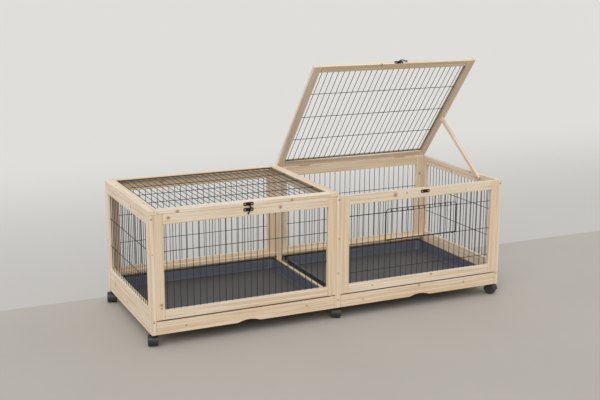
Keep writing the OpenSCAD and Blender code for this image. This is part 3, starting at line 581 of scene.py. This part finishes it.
print(sum(map(len, KNOTS.values())), "knots on", len(KNOTS), "groups")

# %% [markdown]
# All straight boards are made in one loop over the frame's wooden nodes, and a board's
# grain runs along its longest side. The right lid stands open, so its boards are measured,
# shaped and marked as if it were shut, and then turned about the hinge line by the angle
# that its joint gives.

# %% Straight boards
NOTCH = (88 * MM, 9 * MM)
FRAMES = ("left_side", "middle", "right_side")
PANELS = ("left_front", "right_front", "left_back", "right_back", "left_lid", "right_lid")
WOODEN = [group + part for group in FRAMES + PANELS for part in ("_stiles", "_rails")]
WOODEN += ["tray_battens", "left_drawer_front", "right_drawer_front",
           "left_drawer_cleat", "right_drawer_cleat"]
TONES = {"left_side": -0.8, "middle": -0.3, "right_side": -0.8, "left_lid": -0.7,
         "right_lid": -0.4, "left_front_rails": -0.5, "right_front_rails": -0.5,
         "left_front_stiles": 0.7, "right_front_stiles": 0.6}
PLAIN_TONE = 0.1
joints = {joint["name"]: joint for joint in frame["joints"]}
hinge = joints["right_lid_hinge"]
LID_TURN = (math.radians(hinge["range_deg"][0]), np.array(hinge["pos_m"]))


def longest(low, high):
    """The axis along which a board is longest."""
    return int((high - low).argmax())


def box_skin(low, high):
    """A plain box, for cutters."""
    return board(np.asarray(low), np.asarray(high), 0, ease=0.02 * MM)


print(len(WOODEN), "groups of boards")

# %% [markdown]
# The cutters come from the frame's own nodes. The rebate of a lid is as wide as its mesh
# sheet and reaches up to just over the wires. Screw heads lie in shallow round recesses,
# and each hinge's barrel gets a round groove a little larger than itself.

# %% Cutters
SCREW_RECESS, RECESS_DEPTH = 3.5 * MM, 3.4 * MM
BARREL_GROOVE, BARREL_AIR = 3.2 * MM, 0.6 * MM
BAY = 0.75  # half of the run's length
PAST = 5 * MM  # how far the rebate's cutter reaches out of the wood
ROUND = 32


def screw_heads():
    """The middle of each head's outer face, and the way along Y that the screw points."""
    for low, high in solids_of("frame_screws"):
        middle, front = (low + high) / 2, low[1] < 0
        yield (middle[0], low[1] if front else high[1], middle[2]), 1 if front else -1


SCREWS = list(screw_heads())


def screw_cutters():
    """A cylinder for each head, from a millimetre outside the face."""
    for (x, y, z), inward in SCREWS:
        yield lathe([(0, SCREW_RECESS), (MM + RECESS_DEPTH, SCREW_RECESS)],
                    (x, y - inward * MM, z), (0, inward, 0), ROUND)


def lid_cutters(side, turn):
    """A box for a lid's rebate, and a cylinder for each of its hinge barrels."""
    (low, high), = solids_of(side + "_lid_mesh", turn)
    wood_low = solids_of(side + "_lid_stiles", turn)[0][0]
    yield box_skin((low[0], low[1], wood_low[2] - PAST), high)
    centre = np.array(joints[side + "_lid_hinge"]["pos_m"])
    for low, high in solids_of("hinge_pins"):
        if wood_low[0] < low[0] < wood_low[0] + BAY:
            start = (low[0] - BARREL_AIR, centre[1], centre[2])
            length = high[0] - low[0] + 2 * BARREL_AIR
            yield lathe([(0, BARREL_GROOVE), (length, BARREL_GROOVE)], start, (1, 0, 0), ROUND)


cutters = {group + "_stiles": (list(screw_cutters()), None) for group in FRAMES}
for side, turn in (("left", None), ("right", LID_TURN)):
    for part in ("_lid_stiles", "_lid_rails"):
        cutters[side + part] = (list(lid_cutters(side, turn)), turn)
print(len(SCREWS), "screws are countersunk")

# %% [markdown]
# Now the boards themselves. The pieces that are cut get their cut while they lie shut,
# so that the same measures hold for both lids.

# %% Making the boards
board_count = 0
for name in WOODEN:
    skins_to_cut, turn = cutters.get(name, ((), None))
    boards = [(low, high, longest(low, high)) for low, high in solids_of(name, turn)]
    notch = NOTCH if name.endswith("drawer_front") else None
    made = piece("wood_" + name, [board(low, high, along, notch=notch)
                                  for low, high, along in boards])
    if skins_to_cut:
        carve(made, skins_to_cut)
    tone = TONES.get(name, TONES.get(name.rsplit("_", 1)[0], PLAIN_TONE))
    mark_grain(made, boards, tone)
    turn_piece(made, turn)
    flatten_normals(made)
    finish = pine("pine_" + name, KNOTS[name]) if name in KNOTS else plain_pine
    dress(made, body_of(name), "pine_wood", finish, name)
    board_count += len(boards)
print(board_count, "boards")

# %% [markdown]
# The prop stick is a sawn slat whose upper end is cut at a slant. A cutter could take the
# slant off, but it is quicker to slide points. The stick is measured as if it lay along Y
# and built there, its far end is slid back in step with height, and then it is turned up.

# %% Prop stick
pivot = joints["prop_pivot"]
PROP_TURN = (math.radians(-pivot["range_deg"][0] - 90), np.array(pivot["pos_m"]))
PROP_SLANT, PROP_TONE = math.tan(math.radians(10)), -0.9

(low, high), = solids_of("prop_stick", PROP_TURN)
points, faces = board(low, high, 1)
share = (points[:, 1] - low[1]) / (high[1] - low[1])
points[:, 1] -= share * PROP_SLANT * (points[:, 2] - low[2])
prop = piece("prop_slat", [(points, faces)])
mark_grain(prop, [(low, high, 1)], PROP_TONE)
turn_piece(prop, PROP_TURN)
flatten_normals(prop)
dress(prop, "prop", "pine_wood", plain_pine, "prop_stick")
print("prop stick", [round(v * 1000, 1) for v in high - low], "mm")

# %% [markdown]
# The dowels between the panels and the legs are beech. They lie hidden in their holes, so
# they keep the frame's mesh, and fine fibres along X are all that their finish needs.

# %% Dowels
beech = Finish("dowel_beech")
fibres = beech.noise(beech.scaled(beech.place(), 60, 900, 900), detail=2.0)
dowel_beech = beech.surface(
    Base_Color=beech.mix(fibres, linear(222, 196, 160), linear(196, 160, 118)),
    Roughness=0.55 + fibres * 0.1, Normal=beech.bump(fibres, 0.0001))


def refinish(material, *names):
    """Gives CAD nodes, whose shape is right, a finish of their own."""
    for name in names:
        for slot in frame["nodes"][name].material_slots:
            slot.material = material


refinish(dowel_beech, "panel_dowels")
print(len(solids_of("panel_dowels")), "dowels")

# %% [markdown]
# The mesh is welded steel wire under black powder paint, and so is the little door. Wires
# can be curves with a round bevel. The frame's sheets already have each wire in its place,
# so they keep their mesh and only get the paint: satin, a little rough like orange peel,
# and thicker in places.

# %% Wire
paint = Finish("black_wire_paint")
peel = paint.noise(paint.place(), 900, 2.0)
thick = paint.noise(paint.place(), 25, 2.0)
black_wire = paint.surface(
    Base_Color=paint.mix(thick, linear(34, 34, 37), linear(46, 46, 49)),
    Roughness=0.44 + peel * 0.16, Normal=paint.bump(peel, 0.00004), Specular_IOR_Level=0.4)
SHEETS = [group + "_mesh" for group in ("left_side", "right_side") + PANELS]
refinish(black_wire, "wire_door", *SHEETS)
print(len(SHEETS), "sheets of mesh")

# %% [markdown]
# A tray is one sheet of dark plastic, drawn down into a mould while it was hot. That
# leaves a rolled rim, walls that lean out, wide fillets at the floor, a shallow step round
# the floor and a fine leathery surface. A box with a bevel has none of them, so the tray is
# a profile: a rounded rectangle carried up the outer wall, over the rim, down the inner
# wall and over the floor. In front the rim is wider and laps over the drawer front. With
# the rim's painted shade it is the dark line under the front panels, a dark strip in the
# slot over the drawer front, which is in shade.

# %% Tray shape
RIM_CORNER, WALL_CORNER = 11 * MM, 22 * MM
RIM_REACH = 10  # millimetres inwards, over which the corners grow
LAP, LAP_ROOT, RIM_THICKNESS = 15 * MM, 4 * MM, 2 * MM
LAP_EASE, LAP_SUNK = 0.6 * MM, 0.05 * MM
TRAY_FOOT, TRAY_ARC = 8, 9


def fillet(centre, radius, start, end, steps=6):
    """Points centre + radius * (cos f, sin f) for f from start to end, in degrees."""
    turn = np.radians(np.linspace(start, end, steps))
    return [(centre[0] + radius * c, centre[1] + radius * s)
            for c, s in zip(np.cos(turn), np.sin(turn))]


def tray_profile():
    """Pairs of (inset, height) in millimetres, from under the floor round to its top.
    Heights count from the foot of the legs."""
    under = [(60, TRAY_FOOT), (24, TRAY_FOOT), *fillet((22, 12), 4, -90, -172), (12.6, 49),
             (11.6, 50.6), (10.6, 51)]
    rim = [(1.6, 51), *fillet((1.3, 51.6), 0.7, -120, -180, 3), (0.2, 52.2),
           *fillet((1.2, 52), 1, 170, 90, 4)]
    inside = [(10.4, 53), *fillet((10.4, 51), 2, 90, 8, 5), (17.2, 17),
              *fillet((23.4, 16.4), 6, 188, 266, 8), (25.4, 10.3)]
    floor_step = [(30, 10.2), (32, 10.9), (36, 11), (38, 10.3), (42, 10.1), (90, 10.05)]
    return np.array(under + rim + inside + floor_step)


def tray_skin(low, high):
    """Ring points are corner centre + corner radius * (cos f, sin f), where the corner
    radius grows from the rim's to the wall's over the rim's width."""
    profile = tray_profile()
    inset = profile[:, 0] * MM
    height = (profile[:, 1] - TRAY_FOOT) * MM + low[2]
    grown = np.clip(profile[:, 0] / RIM_REACH, 0, 1)
    corner = RIM_CORNER + (WALL_CORNER - RIM_CORNER) * grown
    turn = np.arange(4)[:, None] * np.pi / 2 + np.linspace(0, np.pi / 2, TRAY_ARC)[None]
    turn = turn.ravel()
    sides = np.repeat(QUADRANTS, TRAY_ARC, axis=0)
    middle, half = (low + high)[:2] / 2, (high - low)[:2] / 2
    centres = middle + sides[None] * (half - (inset + corner)[:, None])[:, None]
    circle = np.stack([np.cos(turn), np.sin(turn)], -1)
    rings = np.empty((len(profile), len(turn), 3))
    rings[..., :2] = centres + corner[:, None, None] * circle[None]
    rings[..., 2] = height[:, None]
    return skin(rings)


print(len(tray_profile()), "rings to a tray")

# %% [markdown]
# The plastic is dark grey rather than black. Its walls are painted paler and bluer than its
# floor, a painted reflection of the bright room in front of the run. The walls shine more than
# the floor, which is scuffed, and the rim is painted near black, a painted shade. The colour
# changes a little where the sheet was stretched over the mould.

# %% Trays
FLOOR_HEIGHTS = 59.5 * MM, 61 * MM  # over the ground, where floor turns to wall
RIM_SHADE_HEIGHTS = 98.5 * MM, 99.5 * MM  # and wall to rim

plastic = Finish("tray_plastic")
leather = plastic.noise(plastic.place(), 700, 2.0, 0.6)
stretch = plastic.noise(plastic.place(), 6, 2.0)
height = plastic.node("SeparateXYZ", {}, {0: plastic.place()}).part("Z")
on_floor = plastic.step(height, *FLOOR_HEIGHTS, 1.0, 0.0)
# The walls are painted paler and bluer than the floor: a painted reflection of the bright room
# in front of the run.
tone = plastic.mix(stretch, linear(76, 82, 95), linear(88, 94, 107))
tone = plastic.mix(on_floor, tone, plastic.mix(stretch, linear(74, 73, 74), linear(84, 83, 83)))
# The rim is painted near black, a painted shade like the shadow under the battens.
tone = plastic.mix(plastic.step(height, *RIM_SHADE_HEIGHTS), tone, linear(40, 40, 42))
tray_finish = plastic.surface(Base_Color=tone, Roughness=0.32 + leather * 0.14 + on_floor * 0.24,
                              Normal=plastic.bump(leather, 0.00012), Specular_IOR_Level=0.6)
# The wider lap in front takes the rim's painted shade and makes a dark strip in the shaded slot
# over the drawer front.
for side in ("left", "right"):
    node = side + "_tray"
    (low, high), = solids_of(node)
    inner = low + np.array([0, LAP, 0])
    lap_low = np.array([low[0] + RIM_CORNER, low[1], high[2] - RIM_THICKNESS])
    lap_high = np.array([high[0] - RIM_CORNER, inner[1] + LAP_ROOT, high[2] - LAP_SUNK])
    lap = board(lap_low, lap_high, 0, ease=LAP_EASE)
    dress(piece("moulded_" + node, [tray_skin(inner, high), lap], 50), body_of(node),
          "tray_plastic", tray_finish, node)
print("two trays", [round(v * 1000, 1) for v in high - low], "mm")

# %% [markdown]
# Each caster has two wheels on one axle. A wheel is moulded, with a tread that has rounded
# edges, a sunk side with a raised ring, and a hub. All of it is round, so it is a half
# section turned by the lathe, as the frame's plain cylinders can't show. The wheels stand
# where the joint that spins them says, along the axis of that joint.

# %% Wheels
CASTERS = range(1, 7)
WHEEL_MIDDLE, AXLE_HALF, AXLE_RADIUS = 12.6 * MM, 18 * MM, 2 * MM
WHEEL_ROUND, AXLE_ROUND = 48, 20


def wheel_profile():
    """Distance from the wheel's middle and radius, in millimetres, outer side last."""
    inner = [(-4.4, 2.2), (-4.4, 16), (-5.4, 17), (-6, 18.2)]
    tread = [(-5.6, 19.4), (-4.6, 20), (4.6, 20), (5.6, 19.4), (6, 18.2)]
    outer = [(5.9, 16.6), (4.9, 16), (4.5, 15.4), (4.5, 12.2), (5.1, 11.8), (5.1, 10.6),
             (4.5, 10.2), (4.4, 6.4), (5.6, 5.8), (5.9, 5.2), (5.9, 3.0), (5.3, 2.4)]
    return np.array(inner + tread + outer) * MM


rubber = Finish("wheel_plastic")
wear = rubber.noise(rubber.place(), 120, 3.0)
wheel_finish = rubber.surface(
    Base_Color=rubber.mix(wear, linear(46, 45, 47), linear(66, 65, 67)),
    Roughness=0.5 + wear * 0.2, Normal=rubber.bump(wear, 0.00008))
for number in CASTERS:
    node = "caster_wheels_%d" % number
    spin = joints["wheel_spin_%d" % number]
    centre, axis = np.array(spin["pos_m"]), np.array(spin["axis"], float)
    skins = [lathe([(-AXLE_HALF, AXLE_RADIUS), (AXLE_HALF, AXLE_RADIUS)],
                   centre, axis, AXLE_ROUND)]
    for hand in (-1, 1):
        skins.append(lathe(wheel_profile(), centre + hand * WHEEL_MIDDLE * axis,
                           hand * axis, WHEEL_ROUND))
    dress(piece("turned_wheels_%d" % number, skins), body_of(node), "wheel_plastic",
          wheel_finish, node)
print(len(CASTERS), "pairs of wheels, each wheel with", len(wheel_profile()), "rings")

# %% [markdown]
# The hoods over the wheels are moulded in one piece and shine more than the wheels. Their
# shape is in the frame already, so they only get a finish. Fine flow marks and scuffs break
# the shine.

# %% Hoods
shell = Finish("caster_plastic")
flow = shell.noise(shell.scaled(shell.place(), 60, 60, 240), detail=2.0)
scuff = shell.step(shell.noise(shell.place(), 240, 3.0), 0.55, 0.7)
hood_finish = shell.surface(
    Base_Color=shell.mix(scuff * 0.4, linear(44, 42, 45), linear(72, 70, 72)),
    Roughness=0.34 + flow * 0.14 + scuff * 0.12, Normal=shell.bump(flow, 0.00006))
refinish(hood_finish, *["caster_hood_%d" % number for number in CASTERS])
print(len(CASTERS), "hoods")

# %% [markdown]
# The frame screws are countersunk and show only their heads. A head is a disc whose middle
# is pressed in by a cross. A Boolean could cut the cross, but on a head this small it is
# enough to sink points: on rings round the axis, a point goes in where it lies within half
# an arm's width of either arm. The hinges, pins and stems are of the same plated steel.

# %% Screws
HEAD_RADIUS, SHANK_RADIUS = 3.2, 2.0
ARM_HALF, ARM_REACH, CROWN, CROSS_DEPTH = 0.5, 1.9, 0.22, 1.1


def screw_skin(face, inward):
    """face is the middle of the head's outer face, inward the way that the screw points.
    The profile's pairs are (depth, radius) in millimetres, from the tip to the head."""
    shank = [(62, 0.4), (58, 1.2), (54, SHANK_RADIUS), (2.0, SHANK_RADIUS), (0.9, HEAD_RADIUS),
             (0.5, HEAD_RADIUS), (0.3, 3.0)]
    crown = [(0.25, 2.6), (CROWN, ARM_REACH + 0.15), (CROWN, ARM_REACH), (CROWN, 1.2),
             (CROWN, 0.75), (CROWN, 0.45), (CROWN, 0.1)]
    points, faces = lathe(np.array(shank + crown) * MM, face, inward, ROUND)
    across = points - np.asarray(face)
    depth = across @ np.asarray(inward, float)
    arms = np.abs(across[:, [0, 2]]).min(1)
    reach = np.linalg.norm(across[:, [0, 2]], axis=1)
    on_crown = depth < (CROWN + 0.02) * MM
    sunk = on_crown & (arms < ARM_HALF * MM) & (reach < ARM_REACH * MM + 1e-6)
    return points + np.outer(sunk * CROSS_DEPTH * MM, inward), faces


zinc = Finish("zinc_steel")
haze = zinc.noise(zinc.place(), 400, 2.0)
tarnish = zinc.noise(zinc.place(), 60, 2.0)
zinc_finish = zinc.surface(
    Base_Color=zinc.mix(tarnish, linear(196, 182, 160), linear(166, 148, 124)),
    Metallic=0.6, Roughness=0.36 + haze * 0.2, Normal=zinc.bump(haze, 0.00003))
skins = [screw_skin(face, (0, inward, 0)) for face, inward in SCREWS]
dress(piece("turned_screws", skins), "frame", "zinc_steel", zinc_finish, "frame_screws")
refinish(zinc_finish, "hinge_pins", "prop_screw", "caster_stems", "frame_hinge_leaves",
         "left_lid_hinge_leaves", "right_lid_hinge_leaves")
print(len(SCREWS), "screws")

# %% [markdown]
# The latches are stamped and bent from steel with an antique bronze finish: nearly black
# in the hollows and rubbed brown on the flats. Their plates, pegs and hooks are in the
# frame as they are, and a patchy noise does for the rubbing, since each is so small.

# %% Latches
bronze = Finish("bronze_metal")
patina = bronze.noise(bronze.place(), 160, 3.0)
rubbed = bronze.step(patina, 0.5, 0.75)
bronze_finish = bronze.surface(
    Base_Color=bronze.mix(rubbed * 0.7, linear(46, 36, 30), linear(112, 84, 62)),
    Metallic=0.7, Roughness=0.42 + patina * 0.2, Normal=bronze.bump(patina, 0.00005))
LATCHES = [side + part for side in ("left", "right")
           for part in ("_lid_latch_plate", "_latch_hook")]
refinish(bronze_finish, "catch_plates", *LATCHES)
print(len(LATCHES) + 1, "nodes in bronze")
